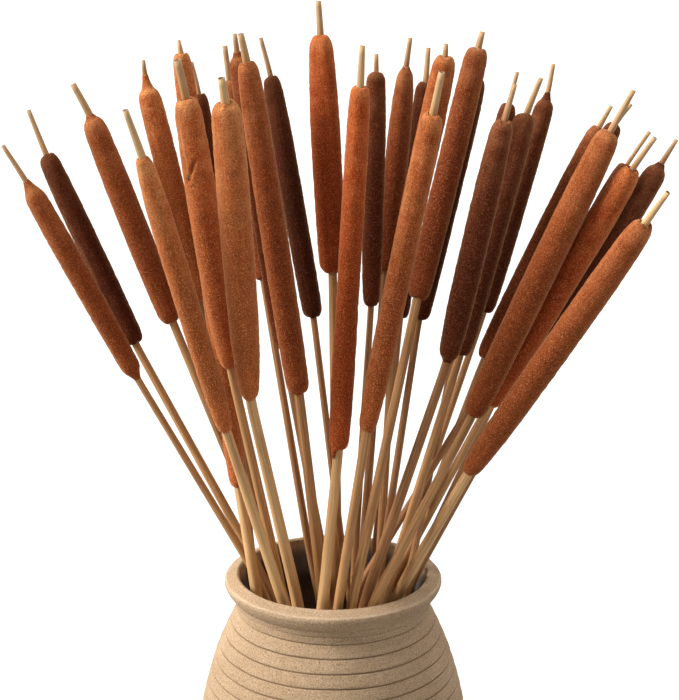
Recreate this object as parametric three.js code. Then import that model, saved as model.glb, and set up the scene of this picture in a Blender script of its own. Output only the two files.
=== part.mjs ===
// Cattail stems in a ribbed stoneware vase.
// Millimetres, +Z up. The origin is the middle of the vase's flat foot, and the bunch faces -Y.

import * as THREE from "three";

// Vase
const VASE_HEIGHT = 180;
const FOOT_RADIUS = 47;
const FLANK_RADIUS = 63.5;
const FLANK_HEIGHT = 37.8;
const BELLY_RADIUS = 73.5;
const BELLY_HEIGHT = 90;
const SHOULDER_RADIUS = 65.5;
const SHOULDER_HEIGHT = 131;
const NECK_RADIUS = 53;
const NECK_HEIGHT = 160;
const LIP_RADIUS = 59.2;
const LIP_CREST_RADIUS = 55;
const LIP_FALL = 5.5; // from the crest down to the lip's widest line
const WALL = 6;
const FLOOR = 8;
const RIB_PITCH = 7;
const RIB_DEPTH = 0.9;
const RIB_BOTTOM = 34; // the wall below is plain
const VASE_SIDES = 30;
const LIP_STEPS = 7;
const INNER_STEPS = 5;
const CURVE_HALVINGS = 30;

// Cattails
const CLEARANCE = 0.3;
const SPACING = 0.5; // kept between two cattails
const STEM_SIDES = 6;
const SPIKE_SIDES = 9;
// A spike's outline, as shares of its radius: how far up its heel rounds off, a point on that curve, how
// far down its crown tapers, and a point on that curve.
const HEEL_RISE = 0.9;
const HEEL_CURVE = { width: 0.87, rise: 0.28 };
const CROWN_DROP = 2.2;
const CROWN_CURVE = { width: 0.84, drop: 0.5 };
const HEEL_FLAT = 0.3; // width of the flat ring at a spike's end, as a share of the down's thickness
const CROWN_FLAT = 0.3;
const NECK_FLAT = 0.12;
const MOUTH_REACH = 48; // farthest a stem stands from the axis at the rim
const NECK_REACH = 45.5; // farthest the outside of a stem stands from the axis in the neck
const FOOT_REACH = 37; // and its middle on the vase's floor
const SETTLE_ROUNDS = 600;
const SETTLED = 0.01; // overlap small enough to stop at
const ROD_INSET = 0.25; // by which a spike's rounded rod stops short of its ends, as a share of its girth
const PARALLEL = 1e-9; // rods whose directions spread less than this run side by side

// The spot from which the layout below is read. It looks down into the mouth.
const EYE = new THREE.Vector3(3.5, -831.5, 524);

// Every cattail, from left to right. mouth is [x, y] where its stem passes the rim. heel, crown and
// tip are the spike's two ends and the stem's cut end, as [x, z] where they show against the upright
// plane through the vase's axis. depth is the tip's y. girth, stem and twig are the thicknesses
// of the spike, of the stem at the mouth and of its cut tip. neck is the length of the narrow fuzzy
// collar that ends some spikes.
const CATTAILS = [
  {
    mouth: [-44, -2], heel: [-103, 288], crown: [-157, 394], tip: [-168, 412],
    depth: -20, girth: 11.8, stem: 4.5, twig: 2.3, neck: 8,
  },
  {
    mouth: [-43, 19], heel: [-104, 308], crown: [-146, 407], tip: [-154, 430],
    depth: 45, girth: 12.6, stem: 4.9, twig: 2.3,
  },
  {
    mouth: [-37, 29], heel: [-84, 320], crown: [-123, 428], tip: [-131, 443],
    depth: 10, girth: 14.2, stem: 5, twig: 3.1, neck: 3,
  },
  {
    mouth: [-27, -38], heel: [-57, 260], crown: [-97, 406], tip: [-105, 430],
    depth: -105, girth: 11.7, stem: 6, twig: 2.7,
  },
  {
    mouth: [-34, 16], heel: [-69, 331], crown: [-95, 448], tip: [-95, 455],
    depth: 25, girth: 12.6, stem: 4.5, twig: 1.7, neck: 11,
  },
  {
    mouth: [-43, -14], heel: [-51, 229], crown: [-76, 458], tip: [-77, 465],
    depth: -15, girth: 11, stem: 6.5, twig: 1.7,
  },
  {
    mouth: [-28, -14], heel: [-54, 295], crown: [-74, 436], tip: [-78, 455],
    depth: -75, girth: 14.8, stem: 4.9, twig: 3.4,
  },
  {
    mouth: [-20, -30], heel: [-44, 278], crown: [-54, 434], tip: [-56, 446],
    depth: -105, girth: 15, stem: 6.2, twig: 3.3,
  },
  {
    mouth: [-14, 33], heel: [-36, 342], crown: [-52, 445], tip: [-54, 462],
    depth: 80, girth: 11.4, stem: 4.6, twig: 3.0,
  },
  {
    mouth: [-6, 22], heel: [-26, 306], crown: [-48, 459], tip: [-49, 468],
    depth: 25, girth: 11.4, stem: 5, twig: 2.4, neck: 4,
  },
  {
    mouth: [-7, -4], heel: [-18, 281], crown: [-43, 454], tip: [-46, 468],
    depth: -40, girth: 13.2, stem: 6, twig: 2.9,
  },
  {
    mouth: [5, 26], heel: [-10, 322], crown: [-31, 447], tip: [-36, 466],
    depth: 70, girth: 12, stem: 4.2, twig: 2.3,
  },
  {
    mouth: [2, 42], heel: [0, 346], crown: [-6, 467], tip: [-7, 484],
    depth: 90, girth: 16.5, stem: 6, twig: 3.2,
  },
  {
    mouth: [-5, -40], heel: [3, 250], crown: [14, 442], tip: [15, 462],
    depth: -65, girth: 11, stem: 5.9, twig: 2.5,
  },
  {
    mouth: [12, 14], heel: [20, 328], crown: [22, 449], tip: [22, 458],
    depth: 55, girth: 11.3, stem: 4, twig: 2.2,
  },
  {
    mouth: [17, 34], heel: [27, 346], crown: [37, 452], tip: [39, 466],
    depth: 80, girth: 13.1, stem: 4.8, twig: 2.4,
  },
  {
    mouth: [27, 38], heel: [35, 322], crown: [47, 444], tip: [48, 461],
    depth: 105, girth: 12, stem: 4.8, twig: 2.7,
  },
  {
    mouth: [26, 16], heel: [33, 340], crown: [57, 457], tip: [57, 463],
    depth: 15, girth: 13.4, stem: 5, twig: 2.3,
  },
  {
    mouth: [3, -38], heel: [18, 260], crown: [51, 428], tip: [55, 449],
    depth: -90, girth: 11.6, stem: 5.5, twig: 3.1,
  },
  {
    mouth: [10, -28], heel: [44, 332], crown: [73, 461], tip: [75, 469],
    depth: -15, girth: 12.4, stem: 5.2, twig: 2.6,
  },
  {
    mouth: [26, 2], heel: [45, 321], crown: [73, 446], tip: [75, 459],
    depth: 55, girth: 12, stem: 4.4, twig: 2.3,
  },
  {
    mouth: [18, -32], heel: [60, 297], crown: [87, 425], tip: [92, 443],
    depth: -35, girth: 12.9, stem: 5.4, twig: 2.2,
  },
  {
    mouth: [29, -12], heel: [67, 302], crown: [98, 428], tip: [105, 446],
    depth: 30, girth: 13, stem: 5, twig: 2.7,
  },
  {
    mouth: [38, 24], heel: [79, 325], crown: [109, 439], tip: [111, 453],
    depth: 85, girth: 12, stem: 4.2, twig: 2.2, neck: 7,
  },
  {
    mouth: [42, 18], heel: [80, 300], crown: [135, 421], tip: [141, 432],
    depth: 60, girth: 12.4, stem: 4.8, twig: 2.2,
  },
  {
    mouth: [24, -37], heel: [74, 268], crown: [141, 419], tip: [152, 440],
    depth: -30, girth: 15, stem: 5.5, twig: 2.6,
  },
  {
    mouth: [37, -8], heel: [83, 275], crown: [153, 400], tip: [164, 416],
    depth: -65, girth: 13.8, stem: 5, twig: 2.4,
  },
  {
    mouth: [46, 8], heel: [100, 285], crown: [168, 403], tip: [175, 415],
    depth: 35, girth: 13, stem: 5, twig: 2.2, neck: 4,
  },
  {
    mouth: [36, -30], heel: [73, 237], crown: [161, 372], tip: [172, 388],
    depth: -120, girth: 14.2, stem: 6, twig: 2.3,
  },
];

const stemLook = new THREE.MeshStandardMaterial({ color: 0xc9a877, roughness: 0.8, metalness: 0 });
const spikeLook = new THREE.MeshStandardMaterial({ color: 0x8a4a28, roughness: 1, metalness: 0 });
const vaseLook = new THREE.MeshStandardMaterial({ color: 0xbf9f7d, roughness: 0.9, metalness: 0 });

// The vase's plain outline, before its ribs: [radius, height] from the foot to the neck.
const bodyCurve = new THREE.SplineCurve([
  new THREE.Vector2(FOOT_RADIUS, 0),
  new THREE.Vector2(FLANK_RADIUS, FLANK_HEIGHT),
  new THREE.Vector2(BELLY_RADIUS, BELLY_HEIGHT),
  new THREE.Vector2(SHOULDER_RADIUS, SHOULDER_HEIGHT),
  new THREE.Vector2(NECK_RADIUS, NECK_HEIGHT),
]);

// The plain outline's radius at a height, found by halving the curve.
function bodyRadius(height) {
  let low = 0;
  let high = 1;
  for (let step = 0; step < CURVE_HALVINGS; step += 1) {
    const middle = (low + high) / 2;
    if (bodyCurve.getPoint(middle).y < height) low = middle;
    else high = middle;
  }
  return bodyCurve.getPoint(low).x;
}

// The vase is one turned shape: foot, ribbed wall, rolled lip, and the inner wall back to the axis.
function makeVase() {
  const outline = [new THREE.Vector2(0, 0), new THREE.Vector2(FOOT_RADIUS, 0)];
  for (let height = RIB_BOTTOM; height < NECK_HEIGHT - RIB_PITCH / 2; height += RIB_PITCH) {
    outline.push(new THREE.Vector2(bodyRadius(height) - RIB_DEPTH, height));
    outline.push(new THREE.Vector2(bodyRadius(height + RIB_PITCH / 2), height + RIB_PITCH / 2));
  }
  outline.push(new THREE.Vector2(NECK_RADIUS, NECK_HEIGHT));

  const lip = new THREE.Path();
  const lipHalf = LIP_RADIUS - LIP_CREST_RADIUS;
  lip.absellipse(LIP_CREST_RADIUS, VASE_HEIGHT - LIP_FALL, lipHalf, LIP_FALL, -Math.PI / 3, Math.PI);
  outline.push(...lip.getPoints(LIP_STEPS));

  for (let step = 0; step <= INNER_STEPS; step += 1) {
    const height = THREE.MathUtils.lerp(NECK_HEIGHT, FLOOR + WALL, step / INNER_STEPS);
    outline.push(new THREE.Vector2(bodyRadius(height) - WALL, height));
  }
  outline.push(new THREE.Vector2(FOOT_RADIUS - WALL, FLOOR), new THREE.Vector2(0, FLOOR));

  const turned = new THREE.LatheGeometry(outline, VASE_SIDES);
  turned.rotateX(Math.PI / 2);
  return turned;
}

// A point that shows at [x, z] on the upright plane through the axis, moved along the sight line to y.
function seenAt([x, z], y) {
  const onPlane = new THREE.Vector3(x, 0, z);
  return onPlane.sub(EYE).multiplyScalar((y - EYE.y) / -EYE.y).add(EYE);
}

// The five stations of a cattail's stem, from its foot up: foot, mouth, heel, crown and tip.
function stations(plant) {
  const mouth = new THREE.Vector3(plant.mouth[0], plant.mouth[1], VASE_HEIGHT);
  const rise = plant.tip[1] - VASE_HEIGHT;
  const depthAt = (spot) =>
    THREE.MathUtils.lerp(plant.mouth[1], plant.depth, (spot[1] - VASE_HEIGHT) / rise);
  const heel = seenAt(plant.heel, depthAt(plant.heel));
  const crown = seenAt(plant.crown, depthAt(plant.crown));
  const tip = seenAt(plant.tip, plant.depth);
  const foot = new THREE.Vector3(plant.foot[0], plant.foot[1], FLOOR + CLEARANCE + plant.stem / 2);
  return [foot, mouth, heel, crown, tip];
}

// Where the stem would meet the floor if it ran on straight below the mouth, kept within reach.
function firstFoot(plant) {
  const [, mouth, heel] = stations({ ...plant, foot: plant.mouth });
  const drop = (mouth.z - FLOOR) / (heel.z - mouth.z);
  const spot = new THREE.Vector2(
    mouth.x + (mouth.x - heel.x) * drop,
    mouth.y + (mouth.y - heel.y) * drop,
  );
  return spot.clampLength(0, FOOT_REACH).toArray();
}

// The rounded rods that stand for a cattail while the bunch settles: four lengths with a radius each,
// and how far up the cattail each of them starts and ends.
function rods(plant) {
  const [foot, mouth, heel, crown, tip] = stations(plant);
  const inset = crown.clone().sub(heel).setLength(plant.girth * ROD_INSET);
  const spikeFrom = heel.clone().add(inset);
  const spikeTo = crown.clone().sub(inset);
  const thin = plant.stem / 2;
  const heelUp = shareUp(plant, plant.heel);
  const crownUp = shareUp(plant, plant.crown);
  return [
    { from: foot, to: mouth, radius: thin, upFrom: 0, upTo: 0 },
    { from: mouth, to: heel, radius: thin, upFrom: 0, upTo: heelUp },
    { from: spikeFrom, to: spikeTo, radius: plant.girth / 2, upFrom: heelUp, upTo: crownUp },
    { from: crown, to: tip, radius: thin, upFrom: crownUp, upTo: 1 },
  ];
}

// How far up a spot stands between the mouth, 0, and the tip, 1.
function shareUp(plant, spot) {
  return (spot[1] - VASE_HEIGHT) / (plant.tip[1] - VASE_HEIGHT);
}

// The shares along two rods at which they come closest.
function closestShares(one, two) {
  const alongOne = one.to.clone().sub(one.from);
  const alongTwo = two.to.clone().sub(two.from);
  const between = one.from.clone().sub(two.from);
  const a = alongOne.lengthSq();
  const e = alongTwo.lengthSq();
  const f = alongTwo.dot(between);
  const c = alongOne.dot(between);
  const b = alongOne.dot(alongTwo);
  const spread = a * e - b * b;
  const clamp = (value) => THREE.MathUtils.clamp(value, 0, 1);
  let shareOne = spread > PARALLEL ? clamp((b * f - c * e) / spread) : 0;
  let shareTwo = (b * shareOne + f) / e;
  if (shareTwo < 0 || shareTwo > 1) {
    shareTwo = clamp(shareTwo);
    shareOne = clamp((b * shareTwo - c) / a);
  }
  return [shareOne, shareTwo];
}

// Moves one cattail so that a spot on one of its rods shifts by about the push.
// Below the mouth the foot and the mouth give way; above it only the depth does, along the sight line.
function giveWay(plant, index, rod, share, push) {
  if (index === 0) {
    const weight = share * share + (1 - share) * (1 - share);
    plant.foot[0] += (push.x * (1 - share)) / weight;
    plant.foot[1] += (push.y * (1 - share)) / weight;
    plant.mouth[1] += (push.y * share) / weight;
    return;
  }
  const up = THREE.MathUtils.lerp(rod.upFrom, rod.upTo, share);
  const weight = up * up + (1 - up) * (1 - up);
  plant.mouth[1] += (push.y * (1 - up)) / weight;
  plant.depth += (push.y * up) / weight;
}

// Eases two cattails apart wherever their rods come too close. Returns how much was in the way.
function easeApart(one, two) {
  let worst = 0;
  const rodsOne = rods(one);
  const rodsTwo = rods(two);
  rodsOne.forEach((rodOne, indexOne) => {
    rodsTwo.forEach((rodTwo, indexTwo) => {
      const [shareOne, shareTwo] = closestShares(rodOne, rodTwo);
      const spotOne = rodOne.from.clone().lerp(rodOne.to, shareOne);
      const spotTwo = rodTwo.from.clone().lerp(rodTwo.to, shareTwo);
      const apart = spotTwo.sub(spotOne);
      const room = rodOne.radius + rodTwo.radius + SPACING;
      const shortBy = room - apart.length();
      if (shortBy <= 0) return;
      worst = Math.max(worst, shortBy);
      let push = apart.clone().setLength(shortBy / 2);
      if (indexOne > 0 || indexTwo > 0) {
        const sideways = Math.hypot(apart.x, apart.z);
        const needed = Math.sqrt(Math.max(room * room - sideways * sideways, 0)) - Math.abs(apart.y);
        push = new THREE.Vector3(0, (Math.sign(apart.y) || 1) * (needed / 2), 0);
      }
      giveWay(two, indexTwo, rodTwo, shareTwo, push);
      giveWay(one, indexOne, rodOne, shareOne, push.negate());
    });
  });
  return worst;
}

function keepInside(spot, reach) {
  const distance = Math.hypot(spot[0], spot[1]);
  if (distance <= reach) return;
  spot[0] *= reach / distance;
  spot[1] *= reach / distance;
}

// Moves the stem's mouth end in until the stem clears the narrowest ring of the neck.
function clearNeck(plant) {
  const share = NECK_HEIGHT / VASE_HEIGHT;
  const across = [0, 1].map((i) => THREE.MathUtils.lerp(plant.foot[i], plant.mouth[i], share));
  const inside = [...across];
  keepInside(inside, NECK_REACH - plant.stem / 2);
  plant.mouth[0] += inside[0] - across[0];
  plant.mouth[1] += inside[1] - across[1];
}

// Lets the whole bunch find room: every pair eases apart, and every stem stays within the vase.
function settle(plants) {
  for (let round = 0; round < SETTLE_ROUNDS; round += 1) {
    let worst = 0;
    plants.forEach((one, index) => {
      plants.slice(index + 1).forEach((two) => {
        worst = Math.max(worst, easeApart(one, two));
      });
    });
    plants.forEach((plant) => {
      keepInside(plant.mouth, MOUTH_REACH);
      keepInside(plant.foot, FOOT_REACH);
      clearNeck(plant);
    });
    if (worst < SETTLED) return;
  }
}

// A stem: a slightly tapered rod that follows its stations, cut square at both ends.
function makeStem(points, thickness, tipThickness) {
  const total = points.length - 1;
  const outline = [new THREE.Vector2(0, 0)];
  points.forEach((point, index) => {
    const share = Math.max(index - 1, 0) / (total - 1);
    outline.push(new THREE.Vector2(THREE.MathUtils.lerp(thickness, tipThickness, share) / 2, index));
  });
  outline.push(new THREE.Vector2(0, total));
  const rod = new THREE.LatheGeometry(outline, STEM_SIDES);

  const axis = new THREE.Vector3(0, 1, 0);
  const frames = points.map((point, index) => {
    const before = points[Math.max(index - 1, 0)];
    const after = points[Math.min(index + 1, total)];
    const along = after.clone().sub(before).normalize();
    return new THREE.Quaternion().setFromUnitVectors(axis, along);
  });
  const spots = rod.getAttribute("position");
  const spot = new THREE.Vector3();
  for (let i = 0; i < spots.count; i += 1) {
    const index = Math.round(spots.getY(i));
    spot.set(spots.getX(i), 0, spots.getZ(i)).applyQuaternion(frames[index]).add(points[index]);
    spots.setXYZ(i, spot.x, spot.y, spot.z);
  }
  return rod;
}

// A spike: a long rounded sleeve around its stem, with a fuzzy neck above the crown where it has one.
function makeSpike(length, girth, bore, neck) {
  const radius = girth / 2;
  const shoulder = length - neck;
  const heelEnd = THREE.MathUtils.lerp(bore, radius, HEEL_FLAT);
  const crownEnd = THREE.MathUtils.lerp(bore, radius, neck > 0 ? NECK_FLAT : CROWN_FLAT);
  const outline = [
    new THREE.Vector2(bore, 0),
    new THREE.Vector2(heelEnd, 0),
    new THREE.Vector2(radius * HEEL_CURVE.width, radius * HEEL_CURVE.rise),
    new THREE.Vector2(radius, radius * HEEL_RISE),
    new THREE.Vector2(radius, shoulder - radius * CROWN_DROP),
    new THREE.Vector2(radius * CROWN_CURVE.width, shoulder - radius * CROWN_CURVE.drop),
    new THREE.Vector2(crownEnd, length),
    new THREE.Vector2(bore, length),
    new THREE.Vector2(bore, 0),
  ];
  return new THREE.LatheGeometry(outline, SPIKE_SIDES);
}

function addMesh(group, name, geometry, look) {
  const mesh = new THREE.Mesh(geometry, look);
  mesh.name = name;
  group.add(mesh);
  return mesh;
}

const bunch = new THREE.Group();
bunch.name = "cattails_in_vase";
addMesh(bunch, "vase", makeVase(), vaseLook);

const plants = CATTAILS.map((row) => ({ neck: 0, ...row, mouth: [...row.mouth] }));
plants.forEach((plant) => {
  plant.foot = firstFoot(plant);
});
settle(plants);

plants.forEach((plant, index) => {
  const number = String(index + 1).padStart(2, "0");
  const points = stations(plant);
  addMesh(bunch, `stem_${number}`, makeStem(points, plant.stem, plant.twig), stemLook);

  const [, , heel, crown] = points;
  const along = crown.clone().sub(heel);
  const bore = plant.stem / 2 + CLEARANCE;
  const spike = addMesh(
    bunch,
    `spike_${number}`,
    makeSpike(along.length(), plant.girth, bore, plant.neck),
    spikeLook,
  );
  spike.position.copy(heel);
  spike.quaternion.setFromUnitVectors(new THREE.Vector3(0, 1, 0), along.normalize());
});

export default bunch;
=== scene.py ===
"""Cattails in a ribbed stoneware vase: finished stems, spikes and pot around the CAD, light and camera."""
import itertools
import math

import bpy
import numpy as np
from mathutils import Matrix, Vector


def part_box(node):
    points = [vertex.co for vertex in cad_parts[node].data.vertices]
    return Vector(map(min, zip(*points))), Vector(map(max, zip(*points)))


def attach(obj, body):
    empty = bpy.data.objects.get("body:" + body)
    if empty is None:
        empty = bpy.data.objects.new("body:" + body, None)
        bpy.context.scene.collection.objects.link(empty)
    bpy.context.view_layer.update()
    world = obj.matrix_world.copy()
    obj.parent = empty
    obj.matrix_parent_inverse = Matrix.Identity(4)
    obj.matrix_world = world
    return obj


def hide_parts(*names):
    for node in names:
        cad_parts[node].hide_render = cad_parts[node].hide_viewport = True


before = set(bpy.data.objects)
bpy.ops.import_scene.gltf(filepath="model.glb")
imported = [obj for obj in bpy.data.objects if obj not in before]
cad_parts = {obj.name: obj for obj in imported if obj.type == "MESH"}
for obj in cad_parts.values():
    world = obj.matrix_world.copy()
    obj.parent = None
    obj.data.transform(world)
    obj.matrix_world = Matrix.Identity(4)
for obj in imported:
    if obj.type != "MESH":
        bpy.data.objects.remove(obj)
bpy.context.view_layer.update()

MM = 0.001
BODY = "root"
FRONT = np.array((0.0, -1.0, 0.0))
# The stretch of a pattern that has the same grain in every direction
EVEN = (1, 1, 1)

# Camera: the photograph's view, down into the mouth from about 0.9 m away
EYE = (3.5 * MM, -831.5 * MM, 524 * MM)
LOOK_DOWN = math.radians(14.8)
LENS_MM = 84.1
CLIP_NEAR = 0.05
CLIP_FAR = 100

# Suns: azimuth and elevation in degrees, strength, and softness in degrees
SUNS = {
    "key": (82, 33, 6.0, 30),
    "top": (20, 74, 0.45, 40),
    "fill": (-70, 50, 1.0, 60),
    "left_rim": (150, 30, 1.2, 20),
    "right_rim": (215, 30, 0.9, 20),
}
WORLD_FILL = 0.24
WHITE = (1, 1, 1, 1)
FLOOR_HALF = 14.0
FLOOR_COLOUR = (0.36, 0.36, 0.36, 1)
FLOOR_GLOW = 0.6

# Reading the CAD. A stem's rings lie further apart in height than this.
RING_GAP = 3 * MM
# The vase's points on its axis lie closer in than this
AXIS_CLEAR = 12 * MM
# Decimals that points in metres are rounded to, so that equal ones are merged
STEM_DECIMALS = 6
VASE_DECIMALS = 5
# A stem's rings are at its foot, mouth, heel, crown and tip. These three are asked for by number.
FOOT = 0
HEEL = 2
CROWN = 3

# Axes of the stems
AXIS_STEP = 1.0 * MM
BEND_REACH = 16 * MM
FINE_STEP = 0.1 * MM

# Outlines of the spikes. Reaches are in radii of the spike.
SPIKE_STEP = 0.85 * MM
SPIKE_COLUMNS = 52
OUTLINE_STEP = 0.05 * MM
END_ROUND = 0.7 * MM
# A spike's bore as a share of its stem's radius, and how far its ends tuck in beside the stem
SNUG = 0.9
TUCK = 0.9 * MM
DOME_CURVE = 2.6
DOME_POWER = 0.36
HEEL_REACH = 1.1
CROWN_REACH = 1.35
TAPER_REACH = 6.5
TAPER = 0.13
HEEL_TAPER = 0.1
# How much a spike narrows from its middle towards both ends, and at most towards one of them
BARREL = 0.04
SKEW = 0.04
SKEW_SEED = 200
# Spikes that narrow more than the others towards their crowns
OWN_TAPERS = {3: 0.2, 4: 0.34, 11: 0.2, 12: 0.2, 13: 0.2, 16: 0.34, 22: 0.2, 25: 0.2, 27: 0.2, 29: 0.2}
# Spikes that narrow more than the others towards their heels
OWN_HEEL_TAPERS = {4: 0.28, 7: 0.34, 8: 0.4, 15: 0.2, 19: 0.2, 22: 0.26, 26: 0.22, 29: 0.26}
# Collars at the top of some crowns: height, curve, and how full each is where it meets the spike
COLLARS = {
    1: (8 * MM, 1.1, 0.85),
    3: (3.5 * MM, 1.3, 0.5),
    5: (11 * MM, 2.0, 0.85),
    10: (4 * MM, 1.2, 0.5),
    16: (3 * MM, 1.3, 0.5),
    24: (7 * MM, 1.4, 0.6),
    28: (4 * MM, 1.2, 0.6),
}
# Collars at the foot of some heels, likewise
HEEL_COLLARS = {1: (6 * MM, 1.2, 0.8), 22: (3.5 * MM, 1.1, 0.6)}
# Where the dome under a collar starts, as a share of the collar's height
COLLAR_SUNK = 0.7

# Surfaces of the spikes. Waves around a spike: how many, and how high as a share of its radius.
OVAL_WAVES = ((2, 0.03), (3, 0.018))
# Noises on a spike: stretch, grain, and place in the spike's own run of seeds
SEEDS_EACH = 11
SPIKE_NOISES = {
    "swell": ((1, 1, 0.4), 16 * MM, 0),
    "lumps": (EVEN, 4 * MM, 1),
    "pile": (EVEN, 1.3 * MM, 2),
    "pale": (EVEN, 5 * MM, 3),
    "bands": ((0.3, 0.3, 1), 1.8 * MM, 4),
    "broken": (EVEN, 3.2 * MM, 5),
    "ragged": ((1, 1, 0), 3 * MM, 6),
}
# How high each of these stands
RELIEF = {"swell": 0.22 * MM, "lumps": 0.08 * MM, "pile": 0.12 * MM, "bands": 0.08 * MM}
# Where each of these starts to rise or fall and where that ends, as shares of the spike's full radius
RELIEF_RISE = (0.3, 0.9)
RIM_RISE = (0.4, 0.62)
RIM_FALL = (0.7, 0.92)
CREASE_FALL = (0.3, 0.5)
# The same as shares of the way up the spike
CROWN_RISE = (0.5, 1.0)
BELLY_RISE = (0.0, 0.2)
BELLY_FALL = (0.4, 0.85)
HALF_WAY = 0.5
# The same as cosines of the angle away from the front, and as values of the noise
FACE_RISE = (0, 0.3)
BROKEN_RISE = (-0.5, 0.3)
# How strongly each of these turns the felt paler or deeper: painted highlight at the crown and on its rim,
# painted shade at the belly and in the crease around the stem, and a darker shred
CROWN_PAINTED_HIGHLIGHT = 0.45
RIM_PAINTED_HIGHLIGHT = 0.55
BELLY_PAINTED_SHADE = 0.35
CREASE_PAINTED_SHADE = 0.75
SHRED_DEEP = 0.8
# The mean that the noise of the crown's painted highlight is added to
CROWN_MEAN = 0.7
# How far the ends stray up and down, and how far in from an end that fades
RAGGED = 0.7 * MM
RAGGED_REACH = 4 * MM
# Marks on the faces of single spikes: from and to, in mm down from the crown and across to the right,
# width in mm, how far the mark stands out in mm, how much paler and how much darker it is. The paler marks
# are pale specks and streaks in the down, and on spike 19 also painted highlight along ridges on its lit left
# side;
# the darker ones are painted shade in grooves and cracks
FACE_MARKS = {
    2: (
        ((30, -3.6), (112, -3.2), 1.3, 0.1, 0.8, 0),
        ((58, 0.6), (61, 1.2), 1.6, 0.1, 0.5, 0),
        ((84, 1.6), (87, 1.0), 1.4, 0.1, 0.5, 0),
    ),
    5: (
        ((17, -1.5), (18, -0.5), 1.1, 0.1, 0.9, 0),
        ((23, 0.4), (24, 0.8), 1.0, 0.1, 0.9, 0),
        ((31, -2.4), (32, -2.2), 1.0, 0.1, 0.8, 0),
    ),
    7: (
        ((29, -0.4), (38.5, -5.0), 1.5, -1.2, 0, 0.9),
        ((14, -6.0), (38.5, -5.2), 1.6, -0.8, 0, 0.5),
    ),
    8: (
        ((0.6, -4.4), (0.4, -2.2), 1.8, -1.5, 0, 0.9),
        ((0.4, 1.2), (0.8, 3.4), 1.8, -1.5, 0, 0.9),
    ),
    15: (
        ((28, 0.6), (28.6, 1.2), 1.0, 0.1, 1.0, 0),
    ),
    19: (
        ((22, -1.2), (23, -0.4), 1.1, 0.1, 1.0, 0),
        ((18, -4.9), (150, -4.6), 1.2, 0.4, 0.4, 0),
        ((30, -3.4), (128, -3.0), 1.1, 0.3, 0.3, 0),
        ((52, -1.6), (140, -1.4), 1.0, 0.2, 0.2, 0),
    ),
}
# Shreds that hang from the heels of single spikes: the angle around the spike, the angle of width, the drop
SHREDS = {14: (-0.8, 0.5, 5.5 * MM)}
SHRED_REACH = 3.5 * MM

# Stems. Waves around a stem are as on the spikes.
STEM_STEP = 3.5 * MM
STEM_COLUMNS = 14
STEM_OVAL = (2, 0.05)
STEM_FLUTES = (9, 0.02)
STEM_SEED = 100
# The pith at the cut tip: its share of the radius, and how far it is sunk
PITH_SHARE = 0.6
PITH_DEPTH = 0.5 * MM
# The paler stalk above the crown, partly the straw's own paler colour and partly painted highlight: how far
# up it is full, and how strong
TIP_REACH = 8 * MM
TIP_HIGHLIGHT_STRENGTH = 0.6
# Which stems have which shade. The others are straw. The shades are partly the stalks' own colour, partly
# painted light on the pale stems at the front and painted shade on the brown stems at the back.
PALE_STEMS = (4, 6, 8, 14, 29)
BROWN_STEMS = (5, 9, 10, 12, 15, 16, 17, 21, 22, 28, 30, 31, 33)

# Which spikes have which shade, by the number in their names. The others are dark. The shades are partly the
# down's own colour and partly painted light and shade, as each spike lies lit or shaded in the bunch; the
# shaded tone is painted shade.
SHADES = {
    "tan": (4, 5, 6, 7, 8),
    "copper": (18, 19),
    "russet": (1, 3, 11, 26, 29),
    "orange": (13, 14, 27),
    "brown": (9, 10, 16, 20, 25),
    "umber": (15, 22, 23, 24, 28),
    "shaded": (12,),
}

# Four half-hidden cattails at the back, past the number of pieces that the CAD holds. In mm: heel, crown and
# tip are [x, z] where they show against the upright plane through the pot's axis, and depth is the tip's y.
BACK_CATTAILS = {
    30: {
        "foot": (6, -37), "mouth": (40, -17), "heel": (67, 321), "crown": (89, 433), "tip": (93, 449),
        "depth": 49, "girth": 11.4, "stem": 4.4, "twig": 2.3,
    },
    31: {
        "foot": (-37, -2), "mouth": (16, -14), "heel": (91, 305), "crown": (143, 423), "tip": (151, 433),
        "depth": 13, "girth": 11, "stem": 4.3, "twig": 2.3,
    },
    32: {
        "foot": (-9, -36), "mouth": (42, -11), "heel": (96, 301), "crown": (150, 402), "tip": (161, 419),
        "depth": 31, "girth": 10.4, "stem": 4.2, "twig": 2.2,
    },
    33: {
        "foot": (-32, -13), "mouth": (-43, -4), "heel": (-56, 328), "crown": (-67, 438), "tip": (-71, 454),
        "depth": 14, "girth": 11, "stem": 4.4, "twig": 2.2,
    },
}

# Vase
VASE_COLUMNS = 216
# Radius of the flat cap that closes the middle of the base, and of the floor inside
CAP_RADIUS = 6 * MM
FOOT_ROUND = 1.4 * MM
FOOT_ROWS = 5
PLAIN_STEP = 1.6 * MM
LIP_STEP = 0.5 * MM
INNER_STEP = 3 * MM
VASE_EASE = 1.6 * MM
LIP_EASE = 0.45 * MM
# The CAD's rings this close to the top are the lip, and one this much further in than its neighbours a valley
LIP_REACH = 12 * MM
VALLEY_SIGN = 0.3 * MM
# Rows of points up each rib, as shares of its height
RIB_ROWS = (0.0, 0.04, 0.08, 0.13, 0.19, 0.28, 0.4, 0.54, 0.68, 0.82, 0.93, 0.985)
# A rib's undercut as a share of its height, how far back its top leans, and its depth beside the CAD's
RIB_UNDERCUT = 0.17
RIB_SLOPE = 0.45
RIB_STRENGTH = 1.15
# Grooves between the neck and the lip: how far up, and how strong beside the ribs
NECK_GROOVES = ((0.0, 0.8), (0.46, 0.5), (0.78, 0.3))
# The hollow under the lip, as shares of the way out and up from the neck to the lip
LIP_HOLLOW = ((0.18, 0.46), (0.5, 0.84))
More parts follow.
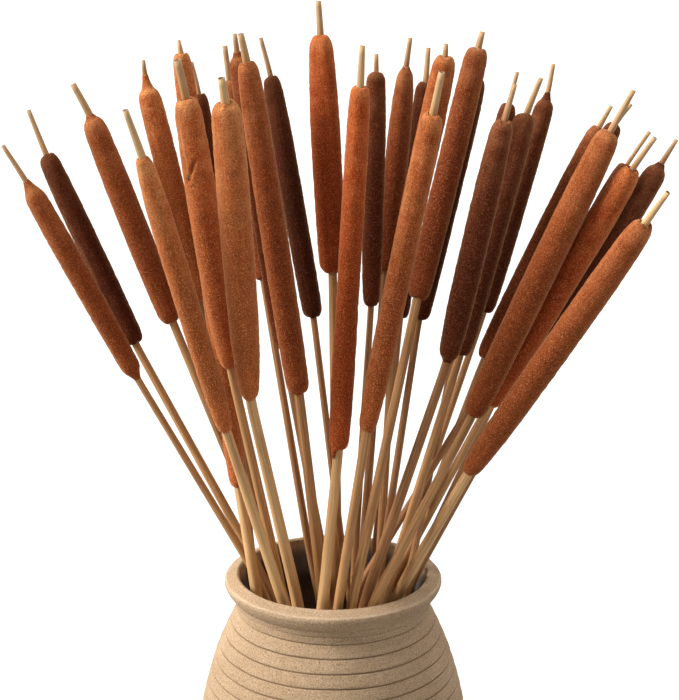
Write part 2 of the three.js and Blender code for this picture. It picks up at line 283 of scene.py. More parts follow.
# The lip's section, as shares of the way out from its inner edge and up to its top
LIP_SECTION = (
    (0.64, 0.02), (0.86, 0.27), (1.0, 0.54), (0.98, 0.7), (0.88, 0.79), (0.19, 1.0), (0.03, 0.92), (0.0, 0.6),
)
# The pale edge on the lip, partly wear and partly painted highlight: where it is in the same shares, how wide
# it is, its mean strength and its change
LIP_EDGE = (0.92, 0.76)
LIP_EDGE_WIDTH = 1.1 * MM
WEAR_AND_HIGHLIGHT_MEAN = 0.45
WEAR_AND_HIGHLIGHT_CHANGE = 0.4
# Noises on the vase: stretch, grain and seed
VASE_NOISES = {
    "wander": ((1, 1, 0.6), 34 * MM, 5),
    "lumps": (EVEN, 14 * MM, 6),
    "grit": (EVEN, 3 * MM, 7),
    "uneven": ((1, 1, 2), 24 * MM, 8),
    "wear_and_highlight": (EVEN, 6 * MM, 9),
}
# How far the ribs stray up and down, over what height below them that sets in, and how their depth varies
RIB_WANDER = 0.35 * MM
WANDER_EASE = 10 * MM
GROOVE_CHANGE = 0.2
# How high lumps and grit stand, and at what height above the base they are full
LUMP_HEIGHT = 0.22 * MM
GRIT_HEIGHT = 0.08 * MM
SMOOTH_FOOT = 6 * MM
# Painted shade in the grooves: from and full at these depths beside the ribs' own, and how strong
GROOVE_RISE = (0.5, 0.95)
GROOVE_PAINTED_SHADE = 0.75
# Painted shade inside, and painted light that lifts it further down: from and full at these depths under the
# lip
INSIDE_RISE = (-1 * MM, 5 * MM)
DEPTHS_RISE = (14 * MM, 50 * MM)


# Noise and smoothing

# Whole numbers that scatter the points of a lattice into values without a pattern
HASH_STEPS = (73856093, 19349663, 83492791)
HASH_SEED = 2654435761
HASH_STIR = 0x45D9F3B
HASH_SHIFTS = (15, 13, 16)
HASH_MASK = 0xFFFFFFFF


def lattice_value(cells, seed):
    """A repeatable value from 0 to 1 for each point of a whole-number lattice."""
    mixed = seed * HASH_SEED
    for axis, step in enumerate(HASH_STEPS):
        mixed = mixed ^ (cells[..., axis] * step)
    mixed = mixed & HASH_MASK
    for shift in HASH_SHIFTS:
        mixed = ((mixed ^ (mixed >> shift)) * HASH_STIR) & HASH_MASK
    return mixed / HASH_MASK


def eased(share):
    """A share from 0 to 1 with a gentle start and end."""
    return share * share * (3 - 2 * share)


def smooth_step(low, high, value):
    """0 up to the low value, 1 from the high one on, and a gentle rise between them."""
    return eased(np.clip((value - low) / (high - low), 0, 1))


def hump(rise, fall, value):
    """A gentle rise over one range of values, and a gentle fall over another."""
    return smooth_step(*rise, value) * (1 - smooth_step(*fall, value))


def noise(points, kind, first_seed=0):
    """Soft noise from -1 to 1. Its kind is its stretch, the size of its lumps and its seed past the first."""
    stretch, grain, seed = kind
    scaled = points * stretch / grain
    corner = np.floor(scaled)
    share = eased(scaled - corner)
    corner = corner.astype(np.int64)
    total = np.zeros(points.shape[:-1])
    for offset in itertools.product((0, 1), repeat=3):
        weight = np.prod(np.where(np.array(offset) == 1, share, 1 - share), axis=-1)
        total += weight * lattice_value(corner + np.array(offset), first_seed + seed)
    return total * 2 - 1


def average_line(padded, reach):
    """Each point averaged with a number of points to each side. That many at each end are used up."""
    kernel = np.hanning(2 * reach + 3)[1:-1]
    kernel /= kernel.sum()
    columns = [np.convolve(column, kernel, mode="valid") for column in padded.T]
    return np.stack(columns, axis=1)


def pick(where, along, values):
    """Points between the given ones, at distances along their line."""
    return np.stack([np.interp(where, along, column) for column in values.T], axis=1)


def path_lengths(path):
    """How far along a path each of its points is."""
    steps = np.linalg.norm(np.diff(path, axis=0), axis=1)
    return np.concatenate(([0], np.cumsum(steps)))


def spaced(path, step, ease):
    """A path's points at an even step, with its corners eased over a distance."""
    lengths = path_lengths(path)
    dense = pick(np.linspace(0, lengths[-1], int(lengths[-1] / FINE_STEP)), lengths, path)
    reach = int(ease / FINE_STEP)
    smooth = average_line(np.pad(dense, ((reach, reach), (0, 0)), mode="edge"), reach)
    count = max(int(lengths[-1] / step), 2)
    return smooth[np.linspace(0, len(smooth) - 1, count).round().astype(int)]


# Reading the CAD frame


def read_vectors(vertices, what):
    """The positions or normals of a CAD node's vertices, in metres."""
    flat = np.empty(len(vertices) * 3)
    vertices.foreach_get(what, flat)
    return flat.reshape(-1, 3)


def cad_points(node):
    """The distinct vertices of a CAD node."""
    spots = read_vectors(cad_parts[node].data.vertices, "co")
    return np.unique(spots.round(STEM_DECIMALS), axis=0)


def stem_rings(node):
    """Middles and radii of a stem's CAD rings, from its foot to its tip."""
    points = cad_points(node)
    points = points[np.argsort(points[:, 2])]
    breaks = np.flatnonzero(np.diff(points[:, 2]) > RING_GAP) + 1
    rings = np.split(points, breaks)
    middles = np.array([ring.mean(axis=0) for ring in rings])
    radii = [np.linalg.norm(ring - middle, axis=1).max() for ring, middle in zip(rings, middles)]
    return middles, np.array(radii)


def cad_girth(node, heel, crown):
    """The largest radius of a CAD spike around the line from its heel to its crown."""
    forward = (crown - heel) / np.linalg.norm(crown - heel)
    spots = cad_points(node) - heel
    return np.linalg.norm(spots - (spots @ forward)[:, None] * forward, axis=1).max()


def vase_rings():
    """Rings of the CAD pot as [radius, height]: its outside upwards, its lip, and its inside downwards."""
    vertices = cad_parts["vase"].data.vertices
    spots = read_vectors(vertices, "co")
    normals = read_vectors(vertices, "normal")
    radius = np.hypot(spots[:, 0], spots[:, 1])
    side = np.sign((spots[:, :2] * normals[:, :2]).sum(axis=1))
    rings = np.stack((radius, spots[:, 2], side), axis=1).round(VASE_DECIMALS)
    rings = np.unique(rings[radius > AXIS_CLEAR], axis=0)
    is_lip = rings[:, 1] > rings[:, 1].max() - LIP_REACH
    outside = rings[~is_lip & (rings[:, 2] > 0)][:, :2]
    inside = rings[~is_lip & (rings[:, 2] < 0)][:, :2]
    return outside[np.argsort(outside[:, 1])], rings[is_lip][:, :2], inside[np.argsort(-inside[:, 1])]


# The cattails at the back


def seen_at(spot, depth):
    """A point that shows at [x, z] on the upright plane through the axis, moved along the sight line to y."""
    eye = np.array(EYE)
    on_plane = np.array((spot[0], 0, spot[1]))
    return eye + (on_plane - eye) * (depth - eye[1]) / -eye[1]


def back_rings(plant):
    """Middles and radii of a back cattail's stem at its foot, mouth, heel, crown and tip."""
    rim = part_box("vase")[1][2]
    floor = stem_rings("stem_01")[0][FOOT, 2]
    foot = (*np.array(plant["foot"]) * MM, floor)
    mouth = (*np.array(plant["mouth"]) * MM, rim)
    spots = np.array([plant[name] for name in ("heel", "crown", "tip")]) * MM
    up = (spots[:, 1] - rim) / (spots[-1, 1] - rim)
    depths = mouth[1] + (plant["depth"] * MM - mouth[1]) * up
    upper = [seen_at(spot, depth) for spot, depth in zip(spots, depths)]
    thick = plant["stem"] / 2 * MM
    thin = plant["twig"] / 2 * MM
    radii = np.interp((0, 0, *up), (0, 1), (thick, thin))
    return np.array([foot, mouth, *upper]), radii


# Meshes


class Axis:
    """The middle line of a stem, with its corners eased into gentle bends."""

    def __init__(self, middles):
        self.stations = path_lengths(middles)
        self.along = np.linspace(0, self.stations[-1], int(self.stations[-1] / AXIS_STEP) + 1)
        line = pick(self.along, self.stations, middles)
        reach = int(BEND_REACH / AXIS_STEP)
        before = line[0] - (line[1] - line[0]) * np.arange(reach, 0, -1)[:, None]
        after = line[-1] + (line[-1] - line[-2]) * np.arange(1, reach + 1)[:, None]
        self.line = average_line(np.concatenate((before, line, after)), reach)
        forward = np.gradient(self.line, axis=0)
        self.forward = forward / np.linalg.norm(forward, axis=1, keepdims=True)

    def frames(self, where):
        """Middle, sideways and frontways directions at distances along the axis."""
        middle = pick(where, self.along, self.line)
        forward = pick(where, self.along, self.forward)
        side = np.cross(forward, FRONT)
        side /= np.linalg.norm(side, axis=1, keepdims=True)
        front = np.cross(side, forward)
        return middle, side, front


def wrap(axis, where, radius, angles, lift=0.0):
    """Points around an axis: where runs along it, radius, angles and lift give each point of each ring."""
    middle, side, front = axis.frames(where)
    sideways = (radius * np.sin(angles))[..., None] * side[:, None]
    frontways = (radius * np.cos(angles))[..., None] * front[:, None]
    upwards = np.broadcast_to(lift, radius.shape)[..., None] * np.cross(front, side)[:, None]
    return middle[:, None] + sideways + frontways + upwards


def closed_tube(name, points, traits):
    """A smooth tube through rings of points, closed at both ends. Traits are stored at its points."""
    rows, columns = points.shape[:2]
    index = np.arange(rows * columns).reshape(rows, columns)
    turned = np.roll(index, -1, axis=1)
    quads = np.stack((index[:-1], turned[:-1], turned[1:], index[1:]), axis=-1).reshape(-1, 4)
    faces = quads.tolist()
    faces.append(index[0][::-1].tolist())
    faces.append(index[-1].tolist())
    mesh = bpy.data.meshes.new(name)
    mesh.from_pydata(points.reshape(-1, 3).tolist(), [], faces)
    for trait, values in traits.items():
        is_vector = values.ndim == 3
        layer = mesh.attributes.new(trait, "FLOAT_VECTOR" if is_vector else "FLOAT", "POINT")
        layer.data.foreach_set("vector" if is_vector else "value", values.astype(np.float32).ravel())
    mesh.polygons.foreach_set("use_smooth", np.ones(len(mesh.polygons), dtype=bool))
    thing = bpy.data.objects.new(name, mesh)
    bpy.context.scene.collection.objects.link(thing)
    return thing


def dress(thing, node, material):
    """Puts a finished piece in place of its CAD node, where it has one."""
    thing.data.materials.append(material)
    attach(thing, BODY)
    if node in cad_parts:
        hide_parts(node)


# Materials

# The standard screen curve: a straight line up to its knee, and a power above it
SCREEN_TOP = 255
SCREEN_KNEE = 0.04045
SCREEN_SLOPE = 12.92
SCREEN_SHIFT = 0.055
SCREEN_POWER = 2.4


def linear(red, green, blue):
    """A colour as it is read off a screen, from 0 to 255, as the shader's own linear colour."""
    def channel(value):
        share = value / SCREEN_TOP
        if share <= SCREEN_KNEE:
            return share / SCREEN_SLOPE
        return ((share + SCREEN_SHIFT) / (1 + SCREEN_SHIFT)) ** SCREEN_POWER
    return (channel(red), channel(green), channel(blue), 1.0)


# A Mix node has sockets of one name for each kind of value. These are the numbers of those for colours.
MIX_FIRST = 6
MIX_SECOND = 7
MIX_RESULT = 2


class Shader:
    """A small helper that builds one node material around a Principled shader."""

    def __init__(self, name):
        self.material = bpy.data.materials.new(name)
        self.material.use_nodes = True
        self.tree = self.material.node_tree
        self.surface = self.tree.nodes["Principled BSDF"]

    def finish(self, roughness, shine):
        """Sets how rough the surface is and how much it shines, and hands the material over."""
        self.set("Roughness", roughness)
        self.set("Specular IOR Level", shine)
        return self.material

    def set(self, socket, value):
        """Sets one of the surface's own values."""
        self.surface.inputs[socket].default_value = value

    def feed(self, socket, source):
        """Lets another node's output drive one of the surface's values."""
        self.link(source, self.surface.inputs[socket])

    def link(self, source, target):
        """Joins one node's output to another's input."""
        self.tree.links.new(source, target)

    def node(self, kind, **values):
        """A new node, with values for its inputs by their names, where an underscore stands for a space."""
        node = self.tree.nodes.new(kind)
        for name, value in values.items():
            node.inputs[name.replace("_", " ")].default_value = value
        return node

    def attribute(self, name):
        """A node that reads one of the traits stored at the mesh's points."""
        node = self.node("ShaderNodeAttribute")
        node.attribute_name = name
        return node

    def place(self, trait=None, stretch=EVEN):
        """Coordinates in metres: a stored trait's, or the object's own."""
        if trait:
            source = self.attribute(trait).outputs["Vector"]
        else:
            source = self.node("ShaderNodeTexCoord").outputs["Object"]
        mapping = self.node("ShaderNodeMapping", Scale=stretch)
        self.link(source, mapping.inputs["Vector"])
        return mapping.outputs["Vector"]

    def noise(self, place, grain, detail=2.0, roughness=0.5):
        """Noise whose lumps are about one grain across, in metres."""
        node = self.node("ShaderNodeTexNoise", Scale=1 / grain, Detail=detail, Roughness=roughness)
        self.link(place, node.inputs["Vector"])
        return node.outputs["Fac"]

    def steer(self, source, low, high, most=1.0):
        """Maps a range of values to 0 and the most, clamped."""
        node = self.node("ShaderNodeMapRange", From_Min=low, From_Max=high, To_Min=0.0, To_Max=most)
        self.link(source, node.inputs["Value"])
        return node.outputs["Result"]

    def mix(self, share, first, second):
        """Mixes two colours. The first may be another node's output."""
        node = self.node("ShaderNodeMix")
        node.data_type = "RGBA"
        self.link(share, node.inputs["Factor"])
        if isinstance(first, tuple):
            node.inputs[MIX_FIRST].default_value = first
        else:
            self.link(first, node.inputs[MIX_FIRST])
        node.inputs[MIX_SECOND].default_value = second
        return node.outputs[MIX_RESULT]

    def fleck(self, below, colour, place, zone, most=1.0, **grain):
        """A colour laid over the one below where a noise rises through a zone of values."""
        return self.mix(self.steer(self.noise(place, **grain), *zone, most), below, colour)

    def tint(self, below, colour, trait):
        """A colour laid over the one below as strongly as a trait of the mesh says."""
        return self.mix(self.attribute(trait).outputs["Fac"], below, colour)

    def bump(self, height, depth, strength, below=None):
        """Relief from a noise, over any relief below it."""
        node = self.node("ShaderNodeBump", Distance=depth, Strength=strength)
        self.link(height, node.inputs["Height"])
        if below:
            self.link(below, node.inputs["Normal"])
        return node.outputs["Normal"]


# Felt: the middle, deep and pale colours of each shade
FELT_TONES = {
    "tan": (linear(188, 99, 51), linear(119, 56, 27), linear(220, 148, 92)),
    "copper": (linear(166, 83, 41), linear(104, 47, 22), linear(204, 130, 79)),
    "russet": (linear(150, 74, 36), linear(95, 42, 19), linear(190, 119, 73)),
    "orange": (linear(172, 74, 33), linear(109, 41, 17), linear(208, 124, 72)),
    "brown": (linear(132, 62, 32), linear(86, 37, 18), linear(174, 108, 67)),
    "umber": (linear(98, 46, 26), linear(60, 26, 14), linear(140, 86, 55)),
    "dark": (linear(84, 38, 21), linear(50, 21, 11), linear(120, 70, 44)),
    "shaded": (linear(75, 34, 19), linear(45, 19, 10), linear(108, 63, 39)),
}
FELT_EDGE = linear(232, 180, 130)
FELT_ACROSS = (0.22, 0.22, 1)
FELT_ALONG = (1, 1, 0.05)


def felt_material(number):
    """Felted seed down: fine mottled browns, faint bands across, pale specks, painted highlight and painted
    shade from the mesh's pale and deep traits, and a sheen at its edges.
    """
    shades = [name for name, group in SHADES.items() if number in group]
    middle, deep, pale = FELT_TONES[shades[0] if shades else "dark"]
    shader = Shader(f"felt_{number:02d}")
    place = shader.place("straight")
    across = shader.place("straight", FELT_ACROSS)
    along = shader.place("straight", FELT_ALONG)
    colour = shader.fleck(middle, deep, place, zone=(0.4, 0.75), most=0.5, grain=9 * MM, detail=3)
    # Painted shade and painted highlight, laid on from the mesh's deep and pale traits
    colour = shader.tint(colour, deep, "deep")
    colour = shader.tint(colour, pale, "pale")
    colour = shader.fleck(colour, deep, across, zone=(0.5, 0.7), most=0.3, grain=1.3 * MM)
    colour = shader.fleck(colour, deep, along, zone=(0.45, 0.7), most=0.4, grain=2.6 * MM)
    colour = shader.fleck(colour, deep, place, zone=(0.48, 0.6), most=0.75, grain=0.54 * MM, roughness=0.8)
    colour = shader.fleck(colour, pale, place, zone=(0.54, 0.66), most=0.75, grain=0.5 * MM, detail=1,
                          roughness=0.7)
    shader.feed("Base Color", colour)
    pile = shader.noise(place, grain=0.75 * MM, detail=3, roughness=0.75)
    shader.feed("Normal", shader.bump(pile, depth=0.6 * MM, strength=0.85))
    shader.set("Sheen Weight", 1.0)
    shader.set("Sheen Roughness", 0.25)
    shader.set("Sheen Tint", FELT_EDGE)
    return shader.finish(roughness=0.95, shine=0.03)


# Straw: the light, middle and dark colours of each shade
STRAW_TONES = {
    "pale": (linear(210, 167, 114), linear(184, 139, 88), linear(134, 91, 54)),
    "straw": (linear(186, 139, 88), linear(157, 110, 65), linear(111, 71, 39)),
    "brown": (linear(173, 124, 78), linear(141, 95, 57), linear(98, 62, 36)),
}
# The tip's colour is partly the straw's own paler colour and partly painted highlight
STRAW_TIP_HIGHLIGHT = linear(184, 152, 112)
STRAW_CUT = linear(128, 100, 70)
# Painted shade in the pith's hollow
STRAW_PITH_SHADE = linear(120, 84, 52)
STRAW_ALONG = (1, 1, 0.02)
STRAW_BLOTS = (1, 1, 0.3)


def straw_material(name):
    """Dried stalk: long streaks of straw and brown, a paler stalk above the crown that is partly painted
    highlight, painted shade in the pith's hollow, and a dull shine.
    """
    light, middle, dark = STRAW_TONES[name]
    shader = Shader(f"stalk_{name}")
    streaks = shader.place("straight", STRAW_ALONG)
    blots = shader.place("straight", STRAW_BLOTS)
    colour = shader.fleck(middle, light, streaks, zone=(0.35, 0.65), grain=0.9 * MM, detail=3)
    colour = shader.fleck(colour, dark, streaks, zone=(0.6, 0.75), most=0.7, grain=0.5 * MM)
    colour = shader.fleck(colour, dark, blots, zone=(0.55, 0.8), most=0.5, grain=12 * MM, detail=3)
    colour = shader.tint(colour, STRAW_TIP_HIGHLIGHT, "tip")
    colour = shader.tint(colour, STRAW_CUT, "cut")
    colour = shader.tint(colour, STRAW_PITH_SHADE, "pith")
    shader.feed("Base Color", colour)
    fibre = shader.noise(streaks, grain=0.4 * MM, detail=3)
    shader.feed("Normal", shader.bump(fibre, depth=0.25 * MM, strength=0.5))
    return shader.finish(roughness=0.62, shine=0.3)


CLAY_DULL = linear(168, 141, 110)
CLAY_WARM = linear(181, 154, 123)
CLAY_RINGS = linear(142, 117, 90)
CLAY_SAND = linear(122, 94, 65)
CLAY_DARK_GRAINS = linear(82, 58, 40)
CLAY_PALE_GRAINS = linear(212, 188, 156)
CLAY_WEAR_AND_HIGHLIGHT = linear(204, 180, 150)
CLAY_GROOVE_SHADE = linear(104, 77, 53)
CLAY_INSIDE_SHADE = linear(86, 75, 67)
CLAY_DEPTHS_PAINTED_LIGHT = linear(176, 156, 134)
CLAY_ROUND = (0.06, 0.06, 1)


def clay_material():
    """Unglazed sandy stoneware with dark and pale grains, painted shade in its grooves and inside, painted
    light further down inside, and a pale lip edge that is partly wear and partly painted highlight.
    """
    shader = Shader("sandy_stoneware")
    place = shader.place()
    rings = shader.place(None, CLAY_ROUND)
    clay = shader.fleck(CLAY_DULL, CLAY_WARM, place, zone=(0.35, 0.65), grain=30 * MM, detail=3)
    clay = shader.fleck(clay, CLAY_RINGS, rings, zone=(0.45, 0.75), most=0.4, grain=1.6 * MM)
    clay = shader.fleck(clay, CLAY_SAND, place, zone=(0.46, 0.62), most=0.75, grain=0.6 * MM, detail=3,
                        roughness=0.8)
    clay = shader.fleck(clay, CLAY_DARK_GRAINS, place, zone=(0.6, 0.68), most=0.9, grain=0.7 * MM,
                        roughness=0.7)
    clay = shader.fleck(clay, CLAY_PALE_GRAINS, place, zone=(0.58, 0.68), most=0.7, grain=0.55 * MM,
                        roughness=0.7)
    # A pale lip edge, partly wear and partly painted highlight
    clay = shader.tint(clay, CLAY_WEAR_AND_HIGHLIGHT, "wear_and_highlight")
    # Painted shade in the grooves and inside, and painted light further down inside
    clay = shader.tint(clay, CLAY_GROOVE_SHADE, "groove")
    clay = shader.tint(clay, CLAY_INSIDE_SHADE, "inside")
    clay = shader.tint(clay, CLAY_DEPTHS_PAINTED_LIGHT, "depths")
    shader.feed("Base Color", clay)
    coarse = shader.noise(place, grain=1.6 * MM, detail=4, roughness=0.7)
    fine = shader.noise(place, grain=0.5 * MM)
    relief = shader.bump(coarse, depth=0.8 * MM, strength=0.6)
    shader.feed("Normal", shader.bump(fine, depth=0.3 * MM, strength=0.6, below=relief))
    return shader.finish(roughness=0.92, shine=0.2)


# Spikes


def dome(share):
    """How full a rounded end is, from 0 at its top to 1 where it joins the straight flank."""
    return (1 - (1 - np.clip(share, 0, 1)) ** DOME_CURVE) ** DOME_POWER


def end_fullness(inward, reach, collar):
    """How full a spike is at distances in from one of its ends, which is domed and may have a collar."""
    if not collar:
        return dome(inward / reach)
    height, curve, fullness = collar
    funnel = fullness * np.clip(inward / height, 0, 1) ** curve
    return np.maximum(funnel, dome((inward - height * COLLAR_SUNK) / reach))


def end_narrowing(inward, reach):
    """1 at one of a spike's ends, easing to 0 at a distance in from it."""
    return (1 - np.clip(inward / reach, 0, 1)) ** 2


def spike_outline(number, full, length, bore):
    """[along, radius] of a spike, from where it dips in at its heel to where it does at its crown."""
    along = np.linspace(0, length, int(length / OUTLINE_STEP))
    drop = length - along
    share = 2 * along / length - 1
    skew = np.random.default_rng(number + SKEW_SEED).uniform(-SKEW, SKEW)
    width = full * (1 - BARREL * share ** 2 + skew * share)
    heel = end_fullness(along, full * HEEL_REACH, HEEL_COLLARS.get(number))
    crown = end_fullness(drop, full * CROWN_REACH, COLLARS.get(number))
    taper = 1 - OWN_TAPERS.get(number, TAPER) * end_narrowing(drop, full * TAPER_REACH)
    taper = taper - OWN_HEEL_TAPERS.get(number, HEEL_TAPER) * end_narrowing(along, full * TAPER_REACH)
    radius = bore + (width * taper - bore) * np.minimum(heel, crown)
    path = np.array([(TUCK, bore), *zip(along, radius), (length - TUCK, bore)])
    return spaced(path, SPIKE_STEP, END_ROUND)


def near_line(down, across, start, end, width):
    """1 on a line between two spots of a spike's face, in mm down and across, easing to 0 beside it."""
    start = np.array(start) * MM
    run = np.array(end) * MM - start
    spots = np.stack(np.broadcast_arrays(down, across), axis=-1) - start
    share = np.clip((spots @ run) / (run @ run), 0, 1)
    away = np.linalg.norm(spots - share[..., None] * run, axis=-1)
    return 1 - smooth_step(0, width * MM, away)


def make_spike(number, axis, rings, radii, full):
    """The felted spike of one cattail, around its stem from its heel to its crown."""
    length = np.linalg.norm(rings[CROWN] - rings[HEEL])
    along, radius = spike_outline(number, full, length, radii[HEEL] * SNUG).T[..., None]
    angles = np.linspace(-math.pi, math.pi, SPIKE_COLUMNS, endpoint=False)[None, :]
    turns = np.random.default_rng(number).uniform(0, 2 * math.pi, len(OVAL_WAVES))
    oval = 1
    for (waves, height), turn in zip(OVAL_WAVES, turns):
        oval = oval + height * np.cos(waves * (angles + turn))
    shape = radius * oval
    plump = radius / full
    across = shape * np.sin(angles)
    along = np.broadcast_to(along, shape.shape)
    share = along / length
    down = length - along
    straight = np.stack((across, shape * np.cos(angles), along), axis=-1)
    noises = {name: noise(straight, kind, number * SEEDS_EACH) for name, kind in SPIKE_NOISES.items()}
    raised = smooth_step(*RELIEF_RISE, plump) * sum(noises[name] * height for name, height in RELIEF.items())

    # Painted highlight towards the crown and on its rim, and painted shade at the belly and in the crease
    # around the stem
    pale = smooth_step(*CROWN_RISE, share) * CROWN_PAINTED_HIGHLIGHT * (CROWN_MEAN + noises["pale"])
    pale = pale + RIM_PAINTED_HIGHLIGHT * hump(RIM_RISE, RIM_FALL, plump) * (share > HALF_WAY)
    crease_shade = (1 - smooth_step(*CREASE_FALL, plump)) * (number not in COLLARS)
    deep = BELLY_PAINTED_SHADE * hump(BELLY_RISE, BELLY_FALL, share) + CREASE_PAINTED_SHADE * crease_shade
    facing = smooth_step(*FACE_RISE, np.cos(angles))
    broken = smooth_step(*BROKEN_RISE, noises["broken"])
    for start, end, width, height, paler, darker in FACE_MARKS.get(number, ()):
        mark = near_line(down, across, start, end, width) * facing
        raised = raised + mark * height * MM
        # Paler specks and streaks, with painted highlight on spike 19's ridges; the darker marks paint shade
        # into grooves and cracks
        pale = pale + mark * paler * broken
        deep = deep + mark * darker

    # Ragged ends, some with a shred
    near_end = 1 - smooth_step(0, RAGGED_REACH, np.minimum(along, down))
    lift = near_end * noises["ragged"] * RAGGED * np.sign(share - HALF_WAY)
    if number in SHREDS:
        middle, width, drop = SHREDS[number]
        torn = np.exp(-((angles - middle) / width) ** 2) * (1 - smooth_step(0, SHRED_REACH, along))
        lift = lift - torn * drop
        deep = deep + torn * SHRED_DEEP

    points = wrap(axis, axis.stations[HEEL] + along[:, 0], shape + raised, angles, lift)
    # The pale trait holds painted highlight and pale specks; the deep trait holds painted shade and darker
    # shreds
    traits = {"straight": straight, "pale": np.clip(pale, 0, 1), "deep": np.clip(deep, 0, 1)}
    thing = closed_tube(f"seed_spike_{number:02d}", points, traits)
    dress(thing, f"spike_{number:02d}", felt_material(number))


# Stems


def straw_name(number):
    """The shade of a stem."""
    if number in PALE_STEMS:
        return "pale"
    return "brown" if number in BROWN_STEMS else "straw"


def make_stem(number, axis, radii, materials):
    """The stalk of one cattail, from its foot to its cut tip, which is hollowed a little at the pith."""
    length = axis.stations[-1]
    along = np.linspace(0, length, int(length / STEM_STEP))
    radius = np.interp(along, axis.stations, radii)
    along = np.concatenate((along, [length, length, length - PITH_DEPTH]))
    radius = np.concatenate((radius, radius[-1] * np.array((1, PITH_SHARE, PITH_SHARE))))[:, None]
    angles = np.linspace(0, 2 * math.pi, STEM_COLUMNS, endpoint=False)[None, :]
    turn, shift = np.random.default_rng(number + STEM_SEED).uniform(0, 2 * math.pi, 2)
    sides, bulge = STEM_OVAL
    flutes, ridge = STEM_FLUTES
    shape = radius * (1 + bulge * np.cos(sides * (angles + turn)) + ridge * np.cos(flutes * angles + shift))
    level = np.broadcast_to(along[:, None], shape.shape)
    # The number sets each stem's streaks apart from the others'
    straight = np.stack((shape * np.sin(angles), shape * np.cos(angles), level + number), axis=-1)
    crown = axis.stations[CROWN]
    # Paler above the crown: partly the straw's own colour and partly painted highlight
    tip = smooth_step(crown, crown + TIP_REACH, level) * TIP_HIGHLIGHT_STRENGTH
    # The last three rows are the tip's edge, the edge of the pith, and the bottom of the pith's hollow, which
    # is painted darker as shade in the hollow
    cut = np.zeros(shape.shape)
    cut[-3:-1] = 1
    pith = np.zeros(shape.shape)
    pith[-1] = 1
    points = wrap(axis, along, shape, angles)
    traits = {"straight": straight, "tip": tip, "cut": cut, "pith": pith}
    thing = closed_tube(f"stalk_{number:02d}", points, traits)
    dress(thing, f"stem_{number:02d}", materials[straw_name(number)])


# Vase


def rib_depth(share):
    """How far a rib stands back from the crest line, from its undercut foot (0) up to the next rib (1)."""
    foot = 1 - smooth_step(0, RIB_UNDERCUT, share)
    return np.maximum(foot, RIB_SLOPE * share ** 2)


def shares_of(low, high, shares):
    """Spots at shares of the way from one corner of a box to the other."""
    return np.array(low) + (np.array(high) - np.array(low)) * np.array(shares)


def foot_edge(foot):
    """The rounded edge of the foot as [radius, height], from the base up."""
    turn = np.linspace(0, math.pi / 2, FOOT_ROWS)
    return np.stack((foot - FOOT_ROUND * (1 - np.sin(turn)), FOOT_ROUND * (1 - np.cos(turn))), axis=1)


def find_valleys(outside):
    """Heights of the valleys between the CAD's ribs, their depth, and the rings that aren't valleys."""
    chord = (outside[:-2, 0] + outside[2:, 0]) / 2
    sunk = np.concatenate(([0], chord - outside[1:-1, 0], [0]))
    is_valley = sunk > VALLEY_SIGN
    return outside[is_valley, 1], np.median(sunk[is_valley]), outside[~is_valley]


def outer_rows(valleys, neck, top):
    """Heights of the rows from above the foot to the lip, and how deep in a groove each of them lies."""
    heights = list(np.arange(FOOT_ROUND + PLAIN_STEP, valleys[0], PLAIN_STEP))
    sinks = [0.0] * len(heights)
    grooves = [(height, 1.0) for height in valleys]
    grooves += [(neck + (top - neck) * share, strength) for share, strength in NECK_GROOVES]
    ends = [height for height, _ in grooves[1:]] + [top]
    for (height, strength), above in zip(grooves, ends):
        for share in RIB_ROWS:
            heights.append(height + (above - height) * share)
            sinks.append(rib_depth(share) * strength)
    return heights, sinks


